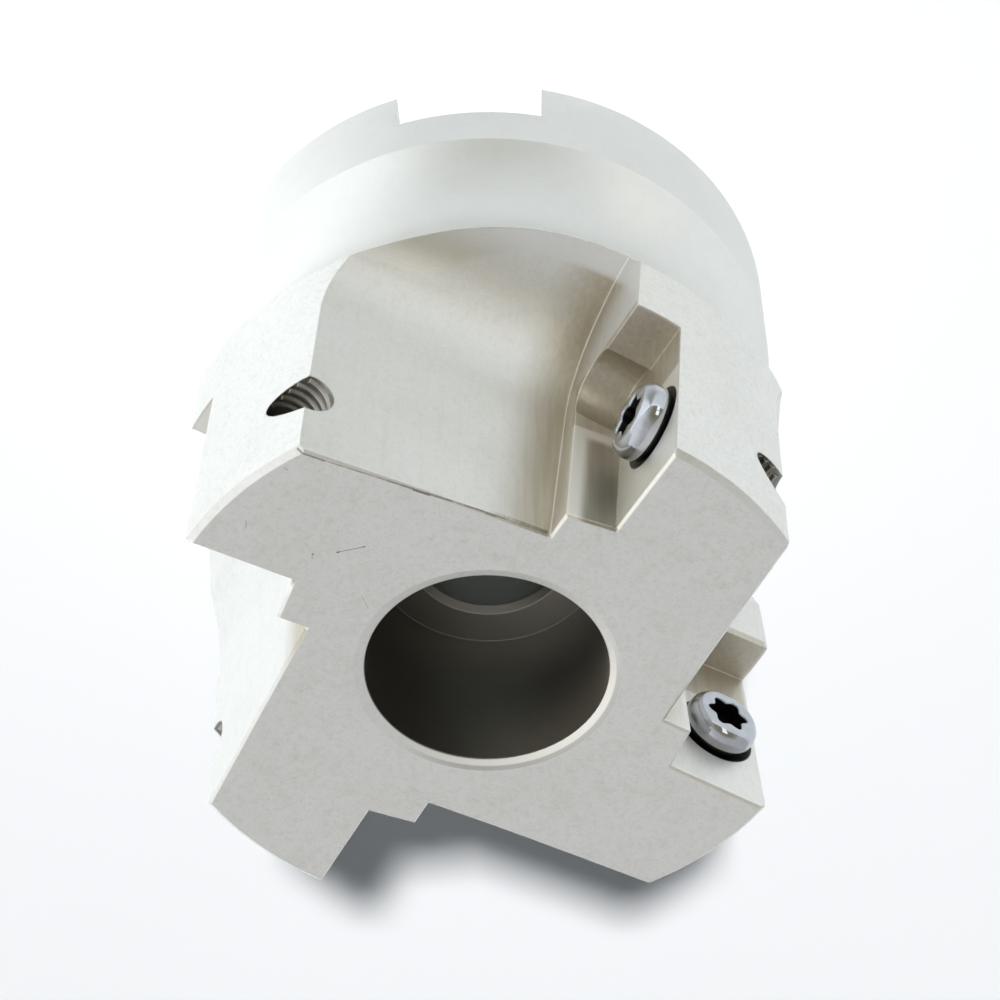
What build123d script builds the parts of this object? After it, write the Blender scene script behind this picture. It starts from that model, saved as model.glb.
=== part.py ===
import os
from math import cos, radians, sin, tan

from build123d import *

# Indexable face mill with screw-on inserts, standing on its hub's back face with the cutting face up.
# The tool axis is Z, the origin is the centre of the hub's back face and the drive slot runs along X.
# Sizes are in millimetres and angles in degrees.

# Turned body
overall_height = 45.0
body_diameter = 48.0
body_length = 21.3
hub_diameter = 45.0
hub_length = 8.5
waist_diameter = 42.1
waist_height = 16.3
waist_corner_radius = 0.4
hub_chamfer = 0.5
face_dish_angle = 3.4
face_edge_break = 0.2
land_edge_break = 0.45

# Bores along the tool axis
arbor_bore_diameter = 22.0
arbor_bore_depth = 20.0
arbor_bore_chamfer = 0.6
screw_head_bore_diameter = 17.4
screw_head_bore_depth = 14.3
screw_head_bore_chamfer = 0.35
web_hole_diameter = 11.0
web_hole_chamfer = 0.5

# Drive slot across the hub's back face
drive_slot_width = 11.4
drive_slot_depth = 4.6

# Teeth, counted anticlockwise seen from the cutting face
tooth_count = 4
first_seat_angle = -33.1
axial_rake = 4.67

# Insert pocket, in the plane of its seat: across, out from the tool axis, and back, from the front face
insert_width = 9.525
insert_overhang = 1.45
seat_offset = 1.19
pocket_depth = 3.56
pocket_length = 15.4
pocket_wall_draft = 8.0
pocket_corner_radius = 2.0
relief_diameter = 5.2
relief_across = 1.95
relief_back = 1.9

# Flute in front of each pocket
flute_floor_distance = 13.18
flute_floor_turn = 3.5
flute_floor_taper = 2.5
flute_straight_length = 14.0
flute_end_radius = 11.5
flute_reach = 26.0

# Insert screw and its threaded hole
thread_pitch_diameter = 3.55
screw_hole_clearance = 0.05
screw_across = 4.5
screw_back = 7.2
screw_hole_depth = 16.0
countersink_diameter = 6.4
countersink_angle = 90.0
screw_length = 6.5
screw_tip_chamfer = 0.5
head_diameter = 5.7
head_rim_height = 1.85
head_edge_chamfer = 0.4
head_cone_angle = 90.0
head_stand_off = 0.1
socket_lobe_count = 6
socket_core_diameter = 2.4
socket_lobe_diameter = 0.85
socket_lobe_circle = 2.45
socket_depth = 1.3

# Length by which a cutting shape runs past the metal that it leaves
run_out = 2.0

body_radius = body_diameter / 2
hub_radius = hub_diameter / 2
pocket_wall = body_radius + insert_overhang - insert_width
pocket_wall_lean = pocket_depth * tan(radians(pocket_wall_draft))
pocket_outer = body_radius + insert_overhang + run_out
bore_mouth_radius = screw_head_bore_diameter / 2 + screw_head_bore_chamfer
bore_mouth_height = overall_height - (body_radius - bore_mouth_radius) * tan(radians(face_dish_angle))
bore_floor_height = overall_height - screw_head_bore_depth

# The seat leans back by the axial rake. In its plane, X runs out across the pocket and Y runs back from
# the cutting face.
seat_normal = (0, cos(radians(axial_rake)), -sin(radians(axial_rake)))
seat_forward = (0, sin(radians(axial_rake)), cos(radians(axial_rake)))
seat_plane = Plane(origin=(0, -seat_offset, overall_height), x_dir=(1, 0, 0), z_dir=seat_normal)
ledge_plane = seat_plane.offset(pocket_depth)
flute_plane = Plane(ledge_plane.location * Rotation(0, -flute_floor_turn, 0))
end_wall_plane = Plane(
    origin=seat_plane.from_local_coords((0, pocket_length, 0)),
    x_dir=(1, 0, 0),
    z_dir=seat_forward,
)
screw_plane = Plane(
    origin=seat_plane.from_local_coords((pocket_wall + screw_across, screw_back, 0)),
    x_dir=(1, 0, 0),
    z_dir=seat_normal,
)

# One flute: its floor, which rises a little away from the cutting face, and the arc that runs out behind
# it, swept across from the ledge of the pocket
with BuildPart() as flute_cut:
    with BuildSketch(flute_plane):
        with BuildLine():
            floor = PolarLine(
                (flute_floor_distance, 0),
                length=flute_straight_length,
                angle=90 - flute_floor_taper,
            )
            run_up = JernArc(
                start=floor @ 1,
                tangent=floor % 1,
                radius=flute_end_radius,
                arc_size=flute_floor_taper - 90,
            )
            outer_end = body_radius + flute_end_radius
            Polyline(
                run_up @ 1,
                (outer_end, (run_up @ 1).Y),
                (outer_end, -run_out),
                (flute_floor_distance, -run_out),
                floor @ 0,
            )
        make_face()
    extrude(amount=flute_reach, both=True)
    split(bisect_by=ledge_plane, keep=Keep.TOP)

# One insert pocket: seat, leaning inner wall, end wall, and the round relief in the corner between them
with BuildPart() as pocket_cut:
    with BuildSketch(end_wall_plane):
        with BuildLine():
            Polyline(
                (pocket_wall, 0),
                (pocket_outer, 0),
                (pocket_outer, pocket_depth),
                (pocket_wall - pocket_wall_lean, pocket_depth),
                close=True,
            )
        make_face()
    extrude(amount=pocket_length + run_out)
    inner_corner = seat_plane.from_local_coords((pocket_wall, pocket_length, pocket_depth / 2))
    fillet(pocket_cut.edges().sort_by_distance(inner_corner)[0], pocket_corner_radius)
    with BuildSketch(seat_plane):
        with Locations((pocket_wall + relief_across, pocket_length - relief_back)):
            Circle(relief_diameter / 2)
    extrude(amount=pocket_depth)

# Tapped hole for one insert screw, right through the tooth, with a countersunk mouth in the seat
with BuildPart() as screw_hole_cut:
    with Locations(screw_plane):
        CounterSinkHole(
            radius=thread_pitch_diameter / 2,
            counter_sink_radius=countersink_diameter / 2,
            depth=screw_hole_depth,
            counter_sink_angle=countersink_angle,
            mode=Mode.ADD,
        )

with BuildPart() as cutter_body:
    # Turned section, from the arbor bore round the outside to the dished cutting face
    with BuildSketch(Plane.XZ):
        with BuildLine():
            outside = Polyline(
                (arbor_bore_diameter / 2 + arbor_bore_chamfer, 0),
                (hub_radius - hub_chamfer, 0),
                (hub_radius, hub_chamfer),
                (hub_radius, hub_length),
            )
            waist = Spline(
                outside @ 1,
                (waist_diameter / 2, waist_height),
                (body_radius, overall_height - body_length),
            )
            Polyline(
                waist @ 1,
                (body_radius, overall_height),
                (bore_mouth_radius, bore_mouth_height),
                (screw_head_bore_diameter / 2, bore_mouth_height - screw_head_bore_chamfer),
                (screw_head_bore_diameter / 2, bore_floor_height),
                (web_hole_diameter / 2 + web_hole_chamfer, bore_floor_height),
                (web_hole_diameter / 2, bore_floor_height - web_hole_chamfer),
                (web_hole_diameter / 2, arbor_bore_depth),
                (arbor_bore_diameter / 2, arbor_bore_depth),
                (arbor_bore_diameter / 2, arbor_bore_chamfer),
                outside @ 0,
            )
        widest_corners = make_face().vertices().group_by(Axis.X)[-1]
        fillet(widest_corners.sort_by(Axis.Y)[0], waist_corner_radius)
    revolve(axis=Axis.Z)

    # Drive slot for the arbor's two keys
    Box(
        hub_diameter + run_out,
        drive_slot_width,
        drive_slot_depth,
        align=(Align.CENTER, Align.CENTER, Align.MIN),
        mode=Mode.SUBTRACT,
    )

    # Teeth
    with PolarLocations(0, tooth_count, start_angle=first_seat_angle):
        add(flute_cut.part, mode=Mode.SUBTRACT)
        add(pocket_cut.part, mode=Mode.SUBTRACT)
        add(screw_hole_cut.part, mode=Mode.SUBTRACT)

    # Edges round the cutting face: a wide break on the lands, a light one along the flutes and pockets
    edge_breaks = {GeomType.CIRCLE: land_edge_break, GeomType.HYPERBOLA: face_edge_break}
    for edge_kind, edge_break in edge_breaks.items():
        cutting_face = cutter_body.faces().filter_by(GeomType.CONE).sort_by(SortBy.AREA)[-1]
        chamfer(cutting_face.outer_wire().edges().filter_by(edge_kind), edge_break)

# Insert screw, its head's widest circle at the origin and its shank along -Z
with BuildPart() as insert_screw:
    head_radius = head_diameter / 2
    shank_radius = thread_pitch_diameter / 2 - screw_hole_clearance
    cone_height = (head_radius - shank_radius) / tan(radians(head_cone_angle / 2))
    with BuildSketch(Plane.XZ):
        with BuildLine():
            Polyline(
                (0, -screw_length),
                (shank_radius - screw_tip_chamfer, -screw_length),
                (shank_radius, -screw_length + screw_tip_chamfer),
                (shank_radius, -cone_height),
                (head_radius, 0),
                (head_radius, head_rim_height),
                (0, head_rim_height),
                close=True,
            )
        head_corners = make_face().vertices().group_by(Axis.X)[-1]
        chamfer(head_corners.sort_by(Axis.Y)[-1], head_edge_chamfer)
    revolve(axis=Axis.Z)
    with BuildSketch(Plane.XY.offset(head_rim_height)):
        Circle(socket_core_diameter / 2)
        with PolarLocations(socket_lobe_circle / 2, socket_lobe_count):
            Circle(socket_lobe_diameter / 2)
    extrude(amount=-socket_depth, mode=Mode.SUBTRACT)

os.makedirs("parts", exist_ok=True)
cutter_body.part.label = "cutter_body"
export_step(cutter_body.part, "parts/cutter_body.step")

tooth_places = PolarLocations(0, tooth_count, start_angle=first_seat_angle)
for tooth, place in enumerate(tooth_places, start=1):
    with BuildPart() as seated_screw:
        with Locations(place):
            with Locations(screw_plane.offset(head_stand_off)):
                add(insert_screw.part)
    seated_screw.part.label = f"insert_screw_{tooth}"
    export_step(seated_screw.part, f"parts/insert_screw_{tooth}.step")
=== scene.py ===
import math

import bmesh
import bpy
from mathutils import Euler, Matrix, Vector
from mathutils.bvhtree import BVHTree


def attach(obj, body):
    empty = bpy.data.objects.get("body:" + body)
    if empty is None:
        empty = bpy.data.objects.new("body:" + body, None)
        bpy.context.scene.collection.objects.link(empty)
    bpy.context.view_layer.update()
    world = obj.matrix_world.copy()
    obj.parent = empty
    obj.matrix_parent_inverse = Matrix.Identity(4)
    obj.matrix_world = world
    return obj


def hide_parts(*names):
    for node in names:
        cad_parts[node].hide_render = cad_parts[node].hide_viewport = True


# Face mill with screw-on inserts, its pockets empty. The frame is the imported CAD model, in metres: the tool
# axis is Z, the cutting face is up and the cutter stands on its hub. Sizes here are in millimetres and
# degrees, apart from those of the floor and the lamps, which are in metres.

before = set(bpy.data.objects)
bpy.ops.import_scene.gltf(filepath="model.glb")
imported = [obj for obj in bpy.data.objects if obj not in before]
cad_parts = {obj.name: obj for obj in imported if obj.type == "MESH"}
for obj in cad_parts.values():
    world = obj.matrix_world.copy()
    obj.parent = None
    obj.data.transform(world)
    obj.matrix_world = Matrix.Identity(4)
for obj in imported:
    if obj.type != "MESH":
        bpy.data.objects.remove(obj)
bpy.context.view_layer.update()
mm = 0.001
print("frame loaded:", ", ".join(sorted(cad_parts)))

# The seats, as the CAD has them: where each tooth's seat stands and how its screw sits in it
seat = {
    "count": 4,
    "firstAngle": -33.1,
    "rake": 4.67,
    "offset": 1.19,
    "height": 45.0,
    "depth": 3.56,
    "wall": 15.925,
    "length": 15.4,
    "screwAcross": 20.425,
    "screwBack": 7.2,
    "mouthRadius": 3.2,
}


def seatAxes():
    # Out across the pocket, down the tool in the seat, and off the seat
    lean = math.radians(seat["rake"])
    down = Vector((0, -math.sin(lean), -math.cos(lean)))
    off = Vector((0, math.cos(lean), -math.sin(lean)))
    return Vector((1, 0, 0)), down, off


def seatCorner():
    # Beside the tool axis, at the top of the seat's plane
    return Vector((0, -seat["offset"], seat["height"]))


# Node trees: a wire is one node's output, and each operator on it adds a Math node

class Wire:
    def __init__(self, nodes, socket):
        self.nodes = nodes
        self.socket = socket

    def other(self, name):
        # Another output of the same node
        return Wire(self.nodes, self.socket.node.outputs[name])

    def __add__(self, other):
        return self.nodes.maths("ADD", self, other)

    def __sub__(self, other):
        return self.nodes.maths("SUBTRACT", self, other)

    def __rsub__(self, other):
        return self.nodes.maths("SUBTRACT", other, self)

    def __mul__(self, other):
        return self.nodes.maths("MULTIPLY", self, other)

    def __rtruediv__(self, other):
        return self.nodes.maths("DIVIDE", other, self)

    def __pow__(self, other):
        return self.nodes.maths("POWER", self, other)

    __radd__ = __add__


class Nodes:
    # One node tree, emptied first; make() adds any node and returns its output
    def __init__(self, tree):
        self.tree = tree
        self.tree.nodes.clear()

    def make(self, kind, settings=None, inputs=None, output=0):
        node = self.tree.nodes.new(kind)
        for name, value in (settings or {}).items():
            setattr(node, name, value)
        for name, value in (inputs or {}).items():
            if isinstance(value, Wire):
                self.tree.links.new(value.socket, node.inputs[name])
            else:
                node.inputs[name].default_value = value
        return Wire(self, node.outputs[output]) if node.outputs else node

    def step(self, value, none, full):
        # 0 at none and 1 at full, whichever of the two is higher
        inputs = {"Value": value, "From Min": none, "From Max": full}
        return self.make("ShaderNodeMapRange", {"interpolation_type": "SMOOTHSTEP"}, inputs)

    def between(self, value, bounds):
        # A step at each end of a stretch
        first, second = bounds
        return self.step(value, *first) * self.step(value, *second)

    def noise(self, place, scale, detail, roughness=0.5, distortion=0.0):
        inputs = {"Vector": place, "Scale": scale, "Detail": detail, "Roughness": roughness}
        return self.make("ShaderNodeTexNoise", None, {**inputs, "Distortion": distortion})

    def maths(self, operation, first, second=0.0):
        return self.make("ShaderNodeMath", {"operation": operation}, {0: first, 1: second})

    def most(self, *values):
        greatest = values[0]
        for value in values[1:]:
            greatest = self.maths("MAXIMUM", greatest, value)
        return greatest

    def vector(self, operation, first, second, output=0):
        return self.make("ShaderNodeVectorMath", {"operation": operation}, {0: first, 1: second}, output)

    def dot(self, first, second):
        return self.vector("DOT_PRODUCT", first, second, "Value")

    def distance(self, first, second):
        return self.vector("DISTANCE", first, second, "Value")

    def scale(self, vector, factor):
        return self.make("ShaderNodeVectorMath", {"operation": "SCALE"}, {0: vector, "Scale": factor})

    def split(self, vector):
        axes = self.make("ShaderNodeSeparateXYZ", None, {0: vector})
        return axes, axes.other("Y"), axes.other("Z")

    def join(self, x=0.0, y=0.0, z=0.0):
        return self.make("ShaderNodeCombineXYZ", None, {0: x, 1: y, 2: z})

    def blend(self, factor, first, second):
        # The colours are this node's inputs 6 and 7 and its output 2
        inputs = {0: factor, 6: first, 7: second}
        return self.make("ShaderNodeMix", {"data_type": "RGBA"}, inputs, output=2)

    def rounded(self, radius):
        # The normal as if each edge had that radius
        return self.make("ShaderNodeBevel", {"samples": 6}, {"Radius": radius * mm})

    def bumped(self, look, height, normal):
        return self.make("ShaderNodeBump", None, {
            "Strength": look["bumpStrength"],
            "Distance": look["bumpHeight"] * mm,
            "Height": height,
            "Normal": normal,
        })

    def metal(self, colour, roughness, normal):
        surface = self.make("ShaderNodeBsdfPrincipled", None, {
            "Base Color": colour,
            "Metallic": 1.0,
            "Roughness": roughness,
            "Normal": normal,
        })
        self.make("ShaderNodeOutputMaterial", None, {"Surface": surface})


class Spot:
    # The point that is shaded: its place, its distance from the tool axis, how far out, back and off the
    # seat it lies in the frame of its own tooth, and its distance from the axis of that tooth's screw
    def __init__(self, nodes):
        self.metres = nodes.make("ShaderNodeTexCoord", output="Object")
        self.place = nodes.scale(self.metres, 1 / mm)
        self.x, self.y, self.height = nodes.split(self.place)
        self.radius = (self.x * self.x + self.y * self.y) ** 0.5
        turn = nodes.maths("ARCTAN2", self.y, self.x) - math.radians(seat["firstAngle"])
        half = math.pi / seat["count"]
        turn = nodes.make("ShaderNodeMath", {"operation": "WRAP"}, {0: turn, 1: half, 2: -half})
        ahead = self.radius * nodes.maths("COSINE", turn)
        aside = self.radius * nodes.maths("SINE", turn)
        offset = nodes.vector("SUBTRACT", nodes.join(ahead, aside, self.height), seatCorner())
        self.across, self.back, self.off = [nodes.dot(offset, axis) for axis in seatAxes()]
        across = self.across - seat["screwAcross"]
        back = self.back - seat["screwBack"]
        self.fromScrew = (across ** 2 + back ** 2) ** 0.5


def newMaterial(name):
    material = bpy.data.materials.new(name)
    material.use_nodes = True
    return material, Nodes(material.node_tree)


# Matte nickel plate on the body: blasted face and lands, milled flutes and pockets, a turned hub and waist,
# and an unplated bore. In the dictionaries of looks, a pair is where a mask is 0 and where it is 1, but a
# pair whose name ends in Amount is a mask's least value and what the streaks add to it, and one whose name
# ends in Way is a direction seen from above.

bodyLook = {
    "plate": (0.79, 0.785, 0.76, 1.0),
    "mottle": (0.66, 0.65, 0.61, 1.0),
    # painted shade in the flutes and pockets, in brown
    "paintedShade": (0.50, 0.445, 0.345, 1.0),
    # wear on the edges, and painted highlights
    "wearAndHighlight": (0.93, 0.90, 0.83, 1.0),
    # marks on the face, and painted shade in the screw mouths and the bore
    "markAndShade": (0.07, 0.06, 0.05, 1.0),
    "bore": (0.33, 0.315, 0.285, 1.0),
    # painted highlight in the bore
    "boreHighlight": (0.80, 0.74, 0.62, 1.0),
    "mouthShade": (0.50, 0.49, 0.46, 1.0),
    "roughness": 0.44,
    "turnedRoughness": 0.32,
    "boreRoughness": 0.42,
    "grainRoughness": 0.14,  # how much the grain varies it
    "edgePolish": 0.08,
    "bumpStrength": 0.5,
    "bumpHeight": 0.02,
    "edgeRadius": 0.13,
    "edgeTurn": (0.99, 0.90),  # rounded normal along the flat one
    "edgeWorms": (0.30, 0.55),
    "edgeWearAndHighlight": 0.6,
}

# Where each finish is, out from the tool axis and up from the back face
finishBounds = {
    "faceUpward": (0.90, 0.97),  # upward share of the normal
    "faceHeight": (43.0, 43.4),
    "turnedHeight": (23.7, 23.4),
    "turnedRadius": (20.0, 20.6),
    "boreRadius": (8.80, 8.70),
    "outsideMouth": (9.8, 10.8),
    "insideLands": (23.95, 23.7),
}


def finishAreas(nodes, spot, flat):
    upward = nodes.split(flat)[2]
    face = nodes.step(upward, *finishBounds["faceUpward"])
    face = face * nodes.step(spot.height, *finishBounds["faceHeight"])
    turned = nodes.step(spot.height, *finishBounds["turnedHeight"])
    turned = turned * nodes.step(spot.radius, *finishBounds["turnedRadius"])
    outside = nodes.step(spot.radius, *finishBounds["outsideMouth"])
    inside = nodes.step(spot.radius, *finishBounds["insideLands"])
    return {
        "face": face,
        "turned": turned,
        "bore": nodes.step(spot.radius, *finishBounds["boreRadius"]),
        "outside": outside,
        "milled": (1 - face) * (1 - turned) * inside * outside,
    }


# Noise in the plate: scale, detail, roughness and distortion
plateNoise = {
    "cloud": (0.14, 3.0),
    "worms": (2.4, 4.0, 0.65, 1.2),
    "grain": (7.0, 2.0, 0.6),
    "blotch": (0.6, 3.0, 0.6),
    "streaks": (2.4, 3.0, 0.6),
    "rings": (5.0, 4.0, 0.65),
}
streakStretch = 0.06  # how fast a streak changes up the tool, against across it
noiseMiddle = 0.5  # the value about which a noise swings


def plateNoises(nodes, spot):
    # Streaks run up the milled walls and rings round the turned ones
    places = {
        "streaks": nodes.join(spot.x, spot.y, spot.height * streakStretch),
        "rings": nodes.join(z=spot.height),
    }
    return {name: nodes.noise(places.get(name, spot.place), *sizes) for name, sizes in plateNoise.items()}


# The range of each noise that darkens the plate, and by how much: less on turned and milled metal, and more
# on the cutting face
mottle = {
    "worms": (0.44, 0.68),
    "wormShare": 0.5,
    "grain": (0.5, 0.75),
    "grainShare": 0.25,
    "lessTurned": 0.8,
    "lessMilled": 0.4,
    "cloud": (0.40, 0.75),
    "cloudShare": 0.16,
    "blotch": (0.46, 0.70),
    "blotchShare": 0.1,
    "moreOnFace": 0.14,
    "streaks": (0.48, 0.78),
    "streakShare": 0.2,
}


def mottledPlate(nodes, area, noise):
    # Worm-like mottle and grain, weaker where a tool cut last, with broad clouds and blotches over them
    worms, grain, cloud, blotch, streaks = [
        nodes.step(noise[name], *mottle[name]) for name in ("worms", "grain", "cloud", "blotch", "streaks")
    ]
    shade = worms * mottle["wormShare"] + grain * mottle["grainShare"]
    shade = shade * (1 - area["turned"] * mottle["lessTurned"] - area["milled"] * mottle["lessMilled"])
    shade = shade + cloud * mottle["cloudShare"]
    shade = shade + blotch * (mottle["blotchShare"] + area["face"] * mottle["moreOnFace"])
    shade = shade + area["milled"] * streaks * mottle["streakShare"]
    return nodes.blend(shade, bodyLook["plate"], bodyLook["mottle"])


# Painted shade in the flutes and pockets, painted light on the pockets at the front, in each tooth's frame
pocketShading = {
    "cornerReach": 5.0,
    "cornerOpenness": (0.95, 0.45),
    "cornerAmount": (0.35, 0.5),
    "lessInPocket": 0.6,
    "ledgeFoot": ((5.0, 0.5), (0.02, 0.15)),  # off the ledge
    "ledgeAmount": (0.55, 0.8),
    "wallOff": ((2.9, 1.9), (-0.2, -0.1)),  # inner wall, off the seat
    "wallAcross": (seat["wall"] + 0.1, seat["wall"]),
    "wallBack": (seat["length"] - 5.0, seat["length"] - 6.0),
    "wallX": (9.0, 10.0),  # only towards the front
    "wallAmount": (0.6, 1.0),
    "wallShade": 0.5,
    "pocketOff": ((-0.4, -0.1), (seat["depth"] + 0.12, seat["depth"] + 0.04)),
    "pocketBack": (seat["length"] + 0.8, seat["length"] + 0.7),
    "pocketAcross": (seat["wall"] - 0.9, seat["wall"] - 0.8),
    "endBack": (seat["length"] - 4.6, seat["length"] - 4.2),
    "endY": (6.0, 0.0),  # only towards the right
    "endAmount": (0.4, 0.6),
    "paintedLightAcross": (11.5, 12.0),
    "paintedLightX": (8.0, 9.0),  # only towards the front
    "paintedLight": 0.7,
}


def pocketLightAndShade(nodes, spot, area, noise, colour):
    def uneven(name):
        least, streaked = pocketShading[name]
        return least + noise["streaks"] * streaked

    openness = nodes.make("ShaderNodeAmbientOcclusion", {"samples": 8, "only_local": True}, {
        "Distance": pocketShading["cornerReach"] * mm,
    }, output="AO")
    # Painted shade where the corners are closed in
    corner = nodes.step(openness, *pocketShading["cornerOpenness"]) * uneven("cornerAmount")
    # Painted shade at the foot of each ledge
    ledge = nodes.between(spot.off - seat["depth"], pocketShading["ledgeFoot"]) * area["milled"]
    ledge = ledge * uneven("ledgeAmount")
    # Painted shade on the inner wall towards the front
    wall = nodes.between(spot.off, pocketShading["wallOff"]) * nodes.step(spot.x, *pocketShading["wallX"])
    wall = wall * (1 - area["face"]) * nodes.step(spot.across, *pocketShading["wallAcross"])
    wall = wall * nodes.step(spot.back, *pocketShading["wallBack"]) * uneven("wallAmount")
    bySeat = nodes.between(spot.off, pocketShading["pocketOff"]) * area["milled"]
    bySeat = bySeat * nodes.step(spot.back, *pocketShading["pocketBack"])
    inPocket = bySeat * nodes.step(spot.across, *pocketShading["pocketAcross"])
    # Painted shade on the pocket's end towards the right
    end = inPocket * nodes.step(spot.back, *pocketShading["endBack"])
    end = end * nodes.step(spot.y, *pocketShading["endY"]) * uneven("endAmount")
    corner = corner * (1 - inPocket * pocketShading["lessInPocket"])
    paintedShade = nodes.most(corner, ledge, wall, end) * area["outside"]
    # Painted light on the pocket towards the front
    paintedLight = bySeat * nodes.step(spot.across, *pocketShading["paintedLightAcross"])
    paintedLight = paintedLight * nodes.step(spot.x, *pocketShading["paintedLightX"]) * pocketShading["paintedLight"]
    colour = nodes.blend(paintedLight, colour, bodyLook["wearAndHighlight"])
    colour = nodes.blend(paintedShade * (1 - area["face"]) * (1 - area["turned"]), colour, bodyLook["paintedShade"])
    # More painted shade on the inner wall, in the bore's colour
    return nodes.blend(wall * pocketShading["wallShade"], colour, bodyLook["bore"])


# Each screw's countersunk mouth in painted shade, and the tapped hole below it, in the frame of each tooth
screwHole = {
    "mouth": (seat["mouthRadius"] + 0.05, seat["mouthRadius"]),
    "mouthOff": ((0.0, -0.03), (-2.4, -1.6)),
    "shadeShare": 0.9,
    "tapped": (1.84, 1.79),
    "tappedOff": (-2.0, -2.6),
    "bare": 0.85,
}


def mouthShadeAndBareThread(nodes, spot, colour):
    mouth = nodes.step(spot.fromScrew, *screwHole["mouth"])
    mouth = mouth * nodes.between(spot.off, screwHole["mouthOff"])
    tapped = nodes.step(spot.fromScrew, *screwHole["tapped"])
    tapped = tapped * nodes.step(spot.off, *screwHole["tappedOff"])
    # Painted shade in the mouth
    colour = nodes.blend(mouth * screwHole["shadeShare"], colour, bodyLook["markAndShade"])
    return nodes.blend(tapped * screwHole["bare"], colour, bodyLook["bore"])


# Marks of use on the cutting face: both ends, half width and strength
faceMarks = [
    ((12.07, 9.20), (12.35, 7.52), 0.045, 0.65),  # scratch between the flute and the bore
    ((12.05, 9.32), (12.07, 9.20), 0.09, 0.8),
    ((12.35, 7.52), (12.36, 7.40), 0.08, 0.8),
    ((12.08, 10.98), (12.00, 11.02), 0.07, 0.8),
    ((11.72, 11.09), (11.76, 11.05), 0.06, 0.6),
    ((15.52, 15.10), (14.90, 15.19), 0.05, 0.35),
    ((19.88, 11.91), (19.70, 11.78), 0.12, 0.2),
    ((7.85, 8.07), (6.69, 7.78), 0.05, 0.25),
    ((21.20, 10.90), (20.25, 9.25), 0.11, 0.6),  # along the first flute's front edge
    ((17.15, 3.62), (16.60, 2.60), 0.10, 0.7),
    ((14.62, -1.05), (14.28, -1.65), 0.08, 0.5),
    ((12.70, -4.62), (12.48, -5.05), 0.09, 0.6),
]

# The long worn line on that edge, broken by a noise
wornLine = {
    "from": (21.2, 10.95),
    "to": (12.48, -5.05),
    "halfWidth": 0.07,
    "strength": 0.55,
    "noise": (0.9, 3.0, 0.7),
    "broken": (0.30, 0.55),
}
markCore = 0.4  # share of its half width over which a mark is full
markHeight = (43.9, 44.0)  # no mark reaches down the sides


def lineMask(nodes, point, start, end, halfWidth):
    # 1 on a straight mark on the cutting face, fading to 0 at its half width
    first = Vector((*start, 0))
    along = Vector((*end, 0)) - first
    offset = nodes.vector("SUBTRACT", point, first)
    share = nodes.dot(offset, along / along.length_squared)
    held = nodes.make("ShaderNodeClamp", None, {"Value": share})
    gap = nodes.distance(offset, nodes.scale(tuple(along), held))
    return nodes.step(gap, halfWidth, halfWidth * markCore)


def markedFace(nodes, spot, colour):
    onPlane = nodes.join(spot.x, spot.y)
    line = lineMask(nodes, onPlane, wornLine["from"], wornLine["to"], wornLine["halfWidth"])
    broken = nodes.step(nodes.noise(onPlane, *wornLine["noise"]), *wornLine["broken"])
    marks = [line * broken * wornLine["strength"]]
    for start, end, halfWidth, strength in faceMarks:
        marks.append(lineMask(nodes, onPlane, start, end, halfWidth) * strength)
    marks = nodes.most(*marks) * nodes.step(spot.height, *markHeight)
    return nodes.blend(marks, colour, bodyLook["markAndShade"])


# The bore: painted shade on its left, and a painted highlight towards its mouth on the other side, where the
# mouth's ring has a painted highlight on its inner half and painted shade on its outer one
boreWear = {
    "shadedSide": (1.0, 7.5),
    "shadeShare": 0.55,
    "paintedLightWay": (-0.6, -0.8),
    "paintedLightSide": (2.0, 8.7),
    "paintedLightHeight": (36.0, 43.5),
    "ringHeight": (43.6, 43.7),
    "ringInner": (9.25, 9.1),
    "ringWay": (-0.85, -0.5),
    "ringSide": (1.0, 7.5),
    "ringHighlight": 0.8,
    "ringShade": 0.9,
}


def boreLightAndShade(nodes, spot, area, colour):
    def side(name):
        x, y = boreWear[name + "Way"]
        return nodes.step(spot.x * x + spot.y * y, *boreWear[name + "Side"])

    colour = nodes.blend(area["bore"], colour, bodyLook["bore"])
    # Painted shade on the left
    shaded = area["bore"] * nodes.step(spot.y, *boreWear["shadedSide"]) * boreWear["shadeShare"]
    colour = nodes.blend(shaded, colour, bodyLook["markAndShade"])
    # Painted highlight on the other side, near the mouth
    paintedLight = area["bore"] * side("paintedLight") * nodes.step(spot.height, *boreWear["paintedLightHeight"])
    colour = nodes.blend(paintedLight, colour, bodyLook["boreHighlight"])
    # The mouth's ring: painted highlight on its inner half, painted shade on its outer one
    ring = (1 - area["face"]) * (1 - area["outside"]) * nodes.step(spot.height, *boreWear["ringHeight"])
    ring = ring * side("ring")
    inner = nodes.step(spot.radius, *boreWear["ringInner"])
    colour = nodes.blend(ring * inner * boreWear["ringHighlight"], colour, bodyLook["wearAndHighlight"])
    return nodes.blend(ring * (1 - inner) * boreWear["ringShade"], colour, bodyLook["mouthShade"])


# How much each noise raises the surface, as shares of the bump's height
relief = {
    "worms": 0.5,
    "grain": 0.5,
    "rings": 1.2,
    "streaks": 0.3,
}


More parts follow.
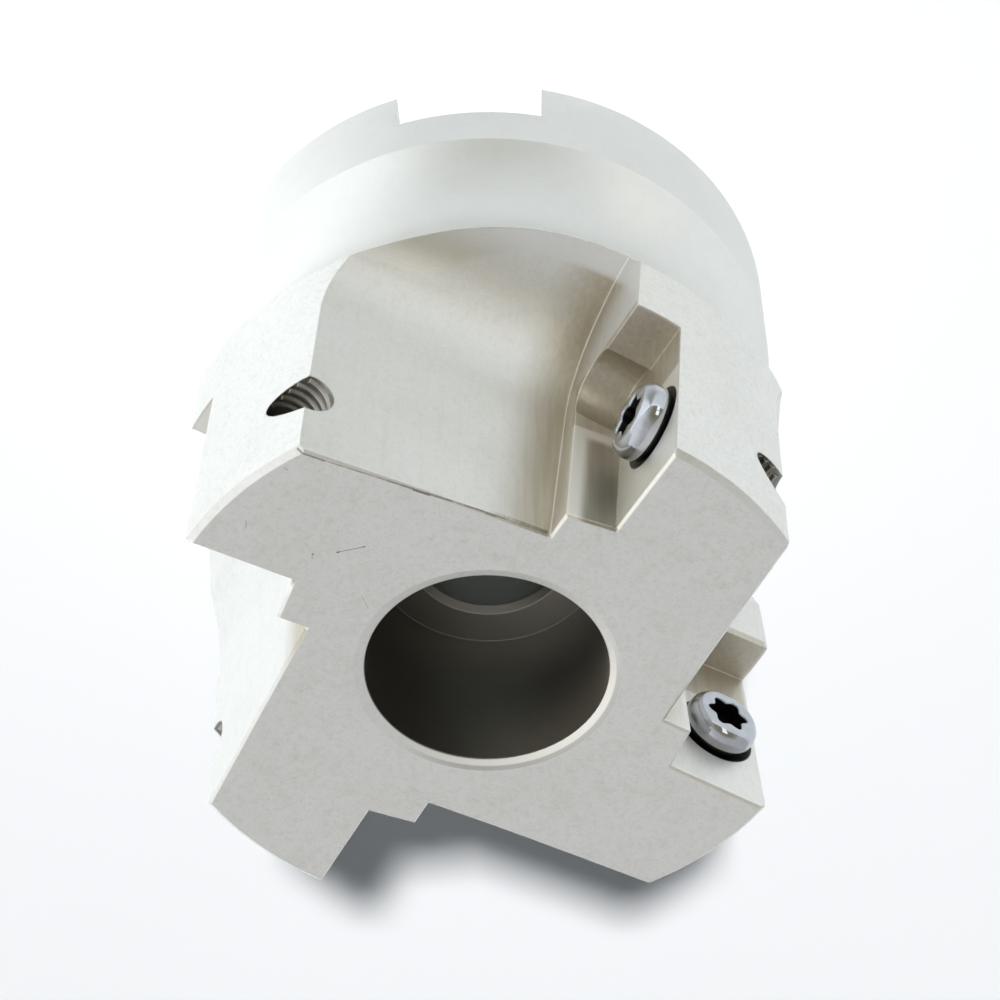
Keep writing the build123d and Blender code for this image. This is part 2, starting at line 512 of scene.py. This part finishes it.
def platedSteel():
    material, nodes = newMaterial("nickelPlatedSteel")
    spot = Spot(nodes)
    flat = nodes.make("ShaderNodeNewGeometry", output="Normal")
    rounded = nodes.rounded(bodyLook["edgeRadius"])
    edge = nodes.step(nodes.dot(rounded, flat), *bodyLook["edgeTurn"])
    area = finishAreas(nodes, spot, flat)
    noise = plateNoises(nodes, spot)

    colour = mottledPlate(nodes, area, noise)
    colour = pocketLightAndShade(nodes, spot, area, noise, colour)
    colour = mouthShadeAndBareThread(nodes, spot, colour)
    # Edges lighter: partly wear, partly a painted highlight
    bright = edge * nodes.step(noise["worms"], *bodyLook["edgeWorms"]) * bodyLook["edgeWearAndHighlight"]
    colour = nodes.blend(bright, colour, bodyLook["wearAndHighlight"])
    colour = markedFace(nodes, spot, colour)
    colour = boreLightAndShade(nodes, spot, area, colour)

    height = noise["worms"] * relief["worms"] + noise["grain"] * relief["grain"]
    height = height + area["turned"] * noise["rings"] * relief["rings"]
    height = height + area["milled"] * noise["streaks"] * relief["streaks"]
    roughness = bodyLook["roughness"] + (noise["grain"] - noiseMiddle) * bodyLook["grainRoughness"]
    roughness = roughness - edge * bodyLook["edgePolish"]
    roughness = roughness - area["turned"] * (bodyLook["roughness"] - bodyLook["turnedRoughness"])
    roughness = roughness - area["bore"] * (bodyLook["roughness"] - bodyLook["boreRoughness"])
    nodes.metal(colour, roughness, nodes.bumped(bodyLook, height, rounded))
    return material


# Polished screws with a faint smear, and painted shade, near black, inside the socket
screwLook = {
    "colour": (0.58, 0.605, 0.645, 1.0),
    "smear": (0.38, 0.39, 0.42, 1.0),
    "smearNoise": (900.0, 3.0),  # in metres
    "socket": (0.035, 0.034, 0.036, 1.0),
    "socketRadius": (1.85, 1.78),
    "socketOff": ((1.90, 1.78), (0.4, 0.5)),
    "roughness": 0.10,
    "smearRoughness": 0.08,
    "socketRoughness": 0.3,
    "bumpStrength": 0.2,
    "bumpHeight": 0.01,
    "edgeRadius": 0.06,
}


def polishedSteel():
    material, nodes = newMaterial("polishedScrewSteel")
    spot = Spot(nodes)
    smear = nodes.noise(spot.metres, *screwLook["smearNoise"])
    # Painted shade inside the socket
    inSocket = nodes.step(spot.fromScrew, *screwLook["socketRadius"])
    inSocket = inSocket * nodes.between(spot.off, screwLook["socketOff"])
    colour = nodes.blend(smear, screwLook["colour"], screwLook["smear"])
    colour = nodes.blend(inSocket, colour, screwLook["socket"])
    roughness = screwLook["roughness"] + (smear - noiseMiddle) * screwLook["smearRoughness"]
    roughness = roughness + inSocket * screwLook["socketRoughness"]
    nodes.metal(colour, roughness, nodes.bumped(screwLook, smear, nodes.rounded(screwLook["edgeRadius"])))
    return material


nickel = platedSteel()
screwSteel = polishedSteel()
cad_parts["cutter_body"].data.materials.clear()
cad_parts["cutter_body"].data.materials.append(nickel)
print("materials made")


# Screws and threads: one is modelled on its own axis, then placed in its seat and copied round the tool

# Insert screw: height 0 is where its head is widest in CAD, and its shank runs down
screw = {
    "standOff": 0.1,
    "length": 6.5,
    "tipChamfer": 0.5,
    "shankRadius": 1.63,
    "threadRadius": 1.725,
    "neckRadius": 1.5,
    "neckTop": -1.3,
    "neckFoot": -1.9,
    "neckTaper": 0.15,
    # Head, from the cone up its round side, over the bright bevel to the top: radius and height
    "headSide": [
        (2.50, -0.32), (2.66, -0.12), (2.76, 0.14), (2.83, 0.45), (2.85, 0.72), (2.83, 1.00),
        (2.78, 1.22), (2.71, 1.40), (2.60, 1.56), (2.30, 1.82), (2.22, 1.85),
    ],
    # Six-lobed socket, from its rounded rim down: mean radius and height
    "socketSide": [(1.56, 1.85), (1.50, 1.83), (1.45, 1.78), (1.43, 1.70), (1.42, 0.55)],
    "socketLobes": 6,
    "socketSwing": 0.22,
    "around": 96,  # points in a ring
}

# The thread on the shank and in the hole: a ridge's foot stands in the metal, its crest out of it
thread = {
    "pitch": 0.7,
    "steps": 36,  # sections in one turn
    "shankSink": 0.03,
    "shankFootWidth": 0.5,
    "shankCrestWidth": 0.12,
}
smoothAngle = 32  # edges sharper than this stay sharp


def seatFrame(out):
    # On the screw's axis, that far off the seat: X out across the pocket, Y down the tool, Z off the seat
    outward, down, off = seatAxes()
    place = seatCorner() + outward * seat["screwAcross"] + down * seat["screwBack"] + off * out
    turn = Matrix((outward, down, off)).transposed().to_4x4()
    return Matrix.Scale(mm, 4) @ Matrix.Translation(place) @ turn


def ringPoints(radius, height, swing=0.0):
    # A level ring, whose radius swings in and out by that much in the socket
    points = []
    for number in range(screw["around"]):
        angle = math.tau * number / screw["around"]
        reach = radius + swing * math.cos(screw["socketLobes"] * angle)
        points.append((reach * math.cos(angle), reach * math.sin(angle), height))
    return points


def ridgeSection(angle, height, foot, crest, footWidth, crestWidth):
    corners = [(foot, -footWidth), (crest, -crestWidth), (crest, crestWidth), (foot, footWidth)]
    return [(r * math.cos(angle), r * math.sin(angle), height + z / 2) for r, z in corners]


def meshFromTubes(name, tubes):
    # Each tube is a list of equal rings of points, joined in order and closed at both ends
    shape = bmesh.new()
    for rings in tubes:
        rows = [[shape.verts.new(point) for point in ring] for ring in rings]
        size = len(rows[0])
        for low, high in zip(rows, rows[1:]):
            for place in range(size):
                after = (place + 1) % size
                shape.faces.new((low[place], low[after], high[after], high[place]))
        shape.faces.new(rows[0][::-1])
        shape.faces.new(rows[-1])
    bmesh.ops.recalc_face_normals(shape, faces=shape.faces)
    mesh = bpy.data.meshes.new(name)
    shape.to_mesh(mesh)
    shape.free()
    mesh.shade_smooth()
    mesh.set_sharp_from_angle(angle=math.radians(smoothAngle))
    return mesh


def polarTree():
    # Copies the object's own mesh round the tool axis
    tree = bpy.data.node_groups.new("roundTheTool", "GeometryNodeTree")
    inputs = {"Shape": "Geometry", "Count": "Int", "First Angle": "Float", "Finish": "Material"}
    for name, kind in inputs.items():
        tree.interface.new_socket(name, in_out="INPUT", socket_type="NodeSocket" + kind)
    tree.interface.new_socket("Copies", in_out="OUTPUT", socket_type="NodeSocketGeometry")
    nodes = Nodes(tree)
    given = nodes.make("NodeGroupInput")
    count = given.other("Count")
    points = nodes.make("GeometryNodePoints", None, {"Count": count})
    angle = given.other("First Angle") + nodes.make("GeometryNodeInputIndex") * (math.tau / count)
    copies = nodes.make("GeometryNodeInstanceOnPoints", None, {
        "Points": points,
        "Instance": given.other("Shape"),
        "Rotation": nodes.join(z=angle),
    })
    solid = nodes.make("GeometryNodeRealizeInstances", None, {"Geometry": copies})
    dressed = nodes.make("GeometryNodeSetMaterial", None, {
        "Geometry": solid,
        "Material": given.other("Finish"),
    })
    nodes.make("NodeGroupOutput", None, {"Copies": dressed})
    return tree


def roundTheTool(name, mesh, finish):
    piece = bpy.data.objects.new(name, mesh)
    bpy.context.scene.collection.objects.link(piece)
    modifier = piece.modifiers.new("roundTheTool", "NODES")
    modifier.node_group = copyTree
    values = {"Count": seat["count"], "First Angle": math.radians(seat["firstAngle"]), "Finish": finish}
    for socket in copyTree.interface.items_tree:
        if socket.name in values:
            modifier[socket.identifier] = values[socket.name]
    evaluated = piece.evaluated_get(bpy.context.evaluated_depsgraph_get())
    copies = bpy.data.meshes.new_from_object(evaluated)
    piece.modifiers.remove(modifier)
    piece.data = copies
    copies.name = name
    return piece


def screwMesh():
    rings = [
        ringPoints(screw["shankRadius"] - screw["tipChamfer"], -screw["length"]),
        ringPoints(screw["shankRadius"], screw["tipChamfer"] - screw["length"]),
        ringPoints(screw["shankRadius"], screw["neckFoot"]),
        ringPoints(screw["neckRadius"], screw["neckFoot"] + screw["neckTaper"]),
        ringPoints(screw["neckRadius"], screw["neckTop"]),
    ]
    rings += [ringPoints(radius, height) for radius, height in screw["headSide"]]
    rings += [ringPoints(radius, height, screw["socketSwing"]) for radius, height in screw["socketSide"]]
    return meshFromTubes("insertScrew", [rings, shankRidge()])


def shankRidge():
    # Rises out of the shank over its first half turn and sinks back over the last
    rise = thread["steps"] / 2
    bottom = screw["tipChamfer"] - screw["length"]
    foot = screw["shankRadius"] - thread["shankSink"]
    count = int((screw["neckFoot"] - bottom) / thread["pitch"] * thread["steps"])
    sections = []
    for number in range(count + 1):
        angle = math.tau * number / thread["steps"]
        height = bottom + thread["pitch"] * number / thread["steps"]
        share = min(1.0, number / rise, (count - number) / rise)
        crest = screw["shankRadius"] + (screw["threadRadius"] - screw["shankRadius"]) * share
        widths = thread["shankFootWidth"], thread["shankCrestWidth"]
        sections.append(ridgeSection(angle, height, foot, crest, *widths))
    return sections


copyTree = polarTree()
oneScrew = screwMesh()
oneScrew.transform(seatFrame(screw["standOff"]))
insertScrews = roundTheTool("insertScrews", oneScrew, screwSteel)
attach(insertScrews, "root")
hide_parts(*[f"insert_screw_{number + 1}" for number in range(seat["count"])])
print("insert screws made:", len(insertScrews.data.polygons), "faces")


# Thread in the holes: heights off the seat, from the screw's tip to where the hole comes out, then the radii
# of the hole's wall and of the ridge, and the ridge's widths
hole = {
    "top": -6.65,
    "bottom": -16.0,
    "wall": 1.775,
    "wallSlack": 0.06,  # by which the wall may stand off and still be there
    "foot": 1.80,
    "crest": 1.60,
    "footWidth": 0.58,
    "crestWidth": 0.10,
}


def holeRidges():
    # Follows the thread down the hole and keeps the stretches that still have a wall behind them
    toHole = (Matrix.Rotation(math.radians(seat["firstAngle"]), 4, "Z") @ seatFrame(0)).inverted()
    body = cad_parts["cutter_body"].data
    metal = BVHTree.FromPolygons(
        [toHole @ vertex.co for vertex in body.vertices],
        [tuple(polygon.vertices) for polygon in body.polygons],
    )

    def walled(angle, height):
        outward = Vector((math.cos(angle), math.sin(angle), 0))
        for edge in (-hole["footWidth"] / 2, hole["footWidth"] / 2):
            *_, reach = metal.ray_cast(Vector((0, 0, height + edge)), outward)
            if reach is None or abs(reach - hole["wall"]) > hole["wallSlack"]:
                return False
        return True

    tubes = []
    sections = []
    count = int((hole["top"] - hole["bottom"]) / thread["pitch"] * thread["steps"])
    for number in range(count):
        angle = -math.tau * number / thread["steps"]
        height = hole["top"] - thread["pitch"] * number / thread["steps"]
        if walled(angle, height):
            sections.append(ridgeSection(
                angle, height, hole["foot"], hole["crest"], hole["footWidth"], hole["crestWidth"],
            ))
            continue
        if len(sections) > 1:
            tubes.append(sections)
        sections = []
    return tubes


oneThread = meshFromTubes("holeThread", holeRidges())
oneThread.transform(seatFrame(0))
holeThreads = roundTheTool("holeThreads", oneThread, nickel)
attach(holeThreads, "root")
print("hole threads made:", len(holeThreads.data.polygons), "faces")


# Floor, in metres. The metal mirrors it in other tones than the camera sees: near and far in front, with a
# light pool, and aside to the right and left, where the left glows a little.
floorLook = {
    "size": 3.0,
    "colour": (0.955, 0.965, 0.98, 1.0),
    "near": (0.765, 0.80, 0.815, 1.0),
    "far": (0.49, 0.485, 0.42, 1.0),
    "farX": (0.03, 0.07),
    "aside": (0.95, 0.985, 1.0, 1.0),
    "rightY": (-0.02, -0.045),
    "leftY": (0.004, 0.030),
    "pool": (1.0, 1.0, 0.96, 1.0),
    "poolPlace": (0.029, -0.030, 0.0),
    "poolReach": (0.014, 0.0),
    "glow": 0.30,
    "glowTint": (0.9, 0.96, 1.0, 1.0),
}


def mirroredFloor(nodes, place, onLeft):
    x, y = nodes.split(place)[:2]
    colour = nodes.blend(nodes.step(x, *floorLook["farX"]), floorLook["near"], floorLook["far"])
    colour = nodes.blend(nodes.step(y, *floorLook["rightY"]), colour, floorLook["aside"])
    colour = nodes.blend(onLeft, colour, floorLook["aside"])
    pool = nodes.step(nodes.distance(place, floorLook["poolPlace"]), *floorLook["poolReach"])
    return nodes.blend(pool, colour, floorLook["pool"])


def layFloor():
    size = floorLook["size"]
    mesh = bpy.data.meshes.new("floor")
    corners = [(-size, -size, 0), (size, -size, 0), (size, size, 0), (-size, size, 0)]
    mesh.from_pydata(corners, [], [(0, 1, 2, 3)])
    floor = bpy.data.objects.new("floor", mesh)
    bpy.context.scene.collection.objects.link(floor)
    material, nodes = newMaterial("paleFloor")
    place = nodes.make("ShaderNodeTexCoord", output="Object")
    onLeft = nodes.step(nodes.split(place)[1], *floorLook["leftY"])
    glossy = nodes.make("ShaderNodeLightPath").other("Is Glossy Ray")
    colour = nodes.blend(glossy, floorLook["colour"], mirroredFloor(nodes, place, onLeft))
    matt = nodes.make("ShaderNodeBsdfDiffuse", None, {"Color": colour})
    glow = nodes.make("ShaderNodeEmission", None, {
        "Color": floorLook["glowTint"],
        "Strength": glossy * onLeft * floorLook["glow"],
    })
    surface = nodes.make("ShaderNodeAddShader", None, {0: matt, 1: glow})
    nodes.make("ShaderNodeOutputMaterial", None, {"Surface": surface})
    mesh.materials.append(material)


# The room that the metal mirrors: its plain level, a dim side, a dark spot by the camera and a bright side,
# each with the way to it and, as cosines, how near to that way it starts and is full. The camera sees a
# plain white backdrop.
room = {
    "level": 0.66,
    "tint": (0.98, 0.995, 1.0, 1.0),
    "ambient": 0.10,  # on matt surfaces
    "ambientTint": (0.84, 0.94, 1.0, 1.0),
    "dimWay": (0.72, -0.60, 0.30),
    "dimTurn": (0.75, 1.0),
    "dimDrop": 0.37,
    "dimTint": (1.0, 0.92, 0.66, 1.0),
    "darkWay": (0.394, -0.355, 0.848),
    "darkTurn": (0.968, 0.990),
    "darkDrop": 0.10,
    "brightWay": (0.15, 0.98, 0.10),
    "brightTurn": (0.1, 0.9),
    "brightRise": 0.55,
    "backdrop": (1.0, 1.0, 1.0, 1.0),
}


def lightRoom():
    world = bpy.data.worlds.new("studio")
    bpy.context.scene.world = world
    world.use_nodes = True
    nodes = Nodes(world.node_tree)
    direction = nodes.make("ShaderNodeTexCoord")

    def towards(side):
        way = Vector(room[side + "Way"]).normalized()
        return nodes.step(nodes.dot(direction, way), *room[side + "Turn"])

    dim = towards("dim")
    mirrored = room["level"] - dim * room["dimDrop"] - towards("dark") * room["darkDrop"]
    mirrored = mirrored + towards("bright") * room["brightRise"]
    camera = nodes.make("ShaderNodeLightPath")
    diffuse = camera.other("Is Diffuse Ray")
    strength = camera + diffuse * room["ambient"] + (1 - camera - diffuse) * mirrored
    tint = nodes.blend(dim, room["tint"], room["dimTint"])
    tint = nodes.blend(diffuse, tint, room["ambientTint"])
    colour = nodes.blend(camera, tint, room["backdrop"])
    background = nodes.make("ShaderNodeBackground", None, {"Color": colour, "Strength": strength})
    nodes.make("ShaderNodeOutputWorld", None, {"Surface": background})


# Lamps, in metres: the key throws the shadow, two small ones glint in polished steel and one stands in for
# the light that comes up the bore
white = (1.0, 1.0, 1.0)
middle = (0.0, 0.0, 0.025)  # of the cutter
lamps = {
    "key": {
        "place": (2.24, -0.12, 2.03), "aim": middle, "size": 0.20,
        "power": 118.0, "colour": white, "mirrored": False,
    },
    "glintLow": {
        "place": (0.52, -0.48, 0.09), "aim": middle, "size": 0.12,
        "power": 0.08, "colour": white, "mirrored": True,
    },
    "glintHigh": {
        "place": (0.50, -0.48, 0.25), "aim": middle, "size": 0.15,
        "power": 0.12, "colour": white, "mirrored": True,
    },
    "throughBore": {
        "place": (0.0, 0.0, 0.018), "aim": (0.0, 0.0, 0.0), "size": 0.010,
        "power": 0.0008, "colour": (0.80, 0.93, 1.0), "mirrored": True,
    },
}


def hangLamps():
    for name, sizes in lamps.items():
        lamp = bpy.data.lights.new(name, "AREA")
        lamp.shape = "SQUARE"
        lamp.size = sizes["size"]
        lamp.energy = sizes["power"]
        lamp.color = sizes["colour"]
        hung = bpy.data.objects.new(name, lamp)
        hung.location = sizes["place"]
        away = Vector(sizes["place"]) - Vector(sizes["aim"])
        hung.rotation_euler = away.to_track_quat("Z", "Y").to_euler()
        hung.visible_glossy = sizes["mirrored"]
        hung.visible_camera = False
        bpy.context.scene.collection.objects.link(hung)


# The photograph's view: the camera's place in the frame, its turn, and its lens
photoView = {
    "place": (131.58, -11.19, 192.18),
    "turn": (-38.185, 0.145, -94.304),
    "lens": 100.64,
    "sensor": 36.0,
    "nearest": 10.0,
    "farthest": 20000.0,
}


def setCamera():
    lens = bpy.data.cameras.new("photoView")
    lens.lens = photoView["lens"]
    lens.sensor_width = photoView["sensor"]
    lens.clip_start = photoView["nearest"] * mm
    lens.clip_end = photoView["farthest"] * mm
    camera = bpy.data.objects.new("photoView", lens)
    camera.location = Vector(photoView["place"]) * mm
    camera.rotation_euler = Euler([math.radians(angle) for angle in photoView["turn"]], "XYZ")
    bpy.context.scene.collection.objects.link(camera)
    bpy.context.scene.camera = camera


layFloor()
lightRoom()
hangLamps()
setCamera()
bpy.context.scene.view_settings.view_transform = "Standard"
print("stage set")
